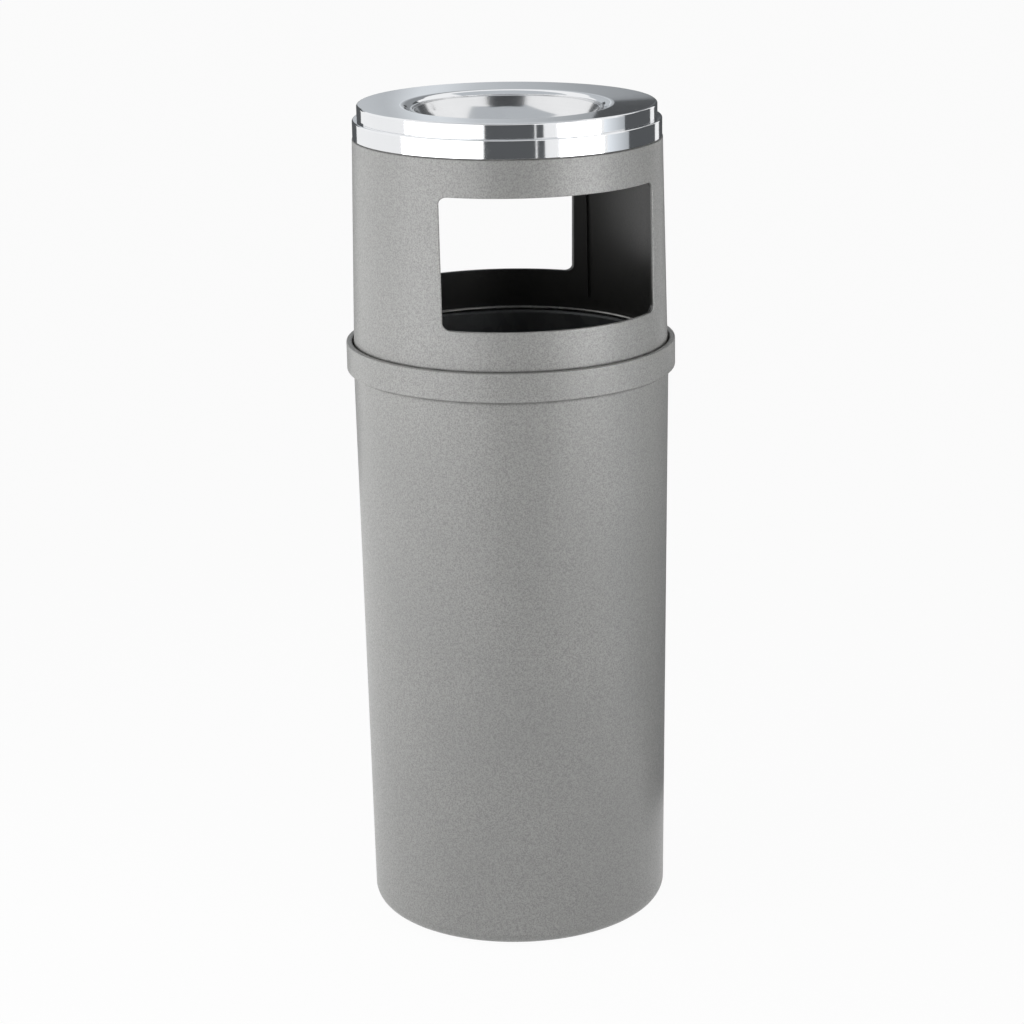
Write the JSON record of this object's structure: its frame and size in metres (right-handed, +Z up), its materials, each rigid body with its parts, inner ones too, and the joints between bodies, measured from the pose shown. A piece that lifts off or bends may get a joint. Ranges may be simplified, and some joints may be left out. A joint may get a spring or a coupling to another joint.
{
  "type": "trash can with ashtray",
  "caption": "Round floor-standing trash can with lift-off hood, opposite side openings, inner metal liner with wire handle, and a polished ashtray top with lift-out bowl.",
  "frame": {"origin": "centre of the foot ring, on the floor", "axes": "+Z up along the axis of the can; the openings face -Y and +Y; the liner's ears are at -X and +X"},
  "size_m": [0.394, 0.394, 0.9972],
  "materials": {
    "grey_plastic": "fine sandy moulded grain, warm mid grey",
    "polished_metal": "bright, spun and polished round the axis",
    "galvanised_steel": "dull zinc with faint spangle",
    "plain_steel": "plain bright wire and fastener steel"
  },
  "bodies": {
    "base": {"base_shell": "grey_plastic"},
    "liner": {"liner_wall": "galvanised_steel", "liner_floor": "galvanised_steel", "liner_rim_wire": "plain_steel", "liner_ear_left": "galvanised_steel", "liner_ear_right": "galvanised_steel", "ear_rivets": "plain_steel"},
    "bail": {"liner_bail": "plain_steel"},
    "hood": {"hood_shell": "grey_plastic", "trim_ring": "polished_metal", "trim_ring_screws": "plain_steel"},
    "ashtray": {"ashtray_top": "polished_metal", "locating_tabs": "plain_steel"},
    "bowl": {"ash_bowl": "polished_metal"}
  },
  "joints": [
    {"name": "liner_lift", "type": "slide", "parent": "base", "child": "liner", "axis": [0, 0, 1], "range_m": [0, 0.7]},
    {"name": "bail_swing", "type": "hinge", "parent": "liner", "child": "bail", "pos_m": [0, 0, 0.7127], "axis": [1, 0, 0], "range_deg": [0, 180]},
    {"name": "hood_lift", "type": "slide", "parent": "liner", "child": "hood", "axis": [0, 0, 1], "range_m": [0, 0.4]},
    {"name": "ashtray_lift", "type": "slide", "parent": "hood", "child": "ashtray", "axis": [0, 0, 1], "range_m": [0, 0.15]},
    {"name": "bowl_lift", "type": "slide", "parent": "ashtray", "child": "bowl", "axis": [0, 0, 1], "range_m": [0, 0.1]}
  ]
}
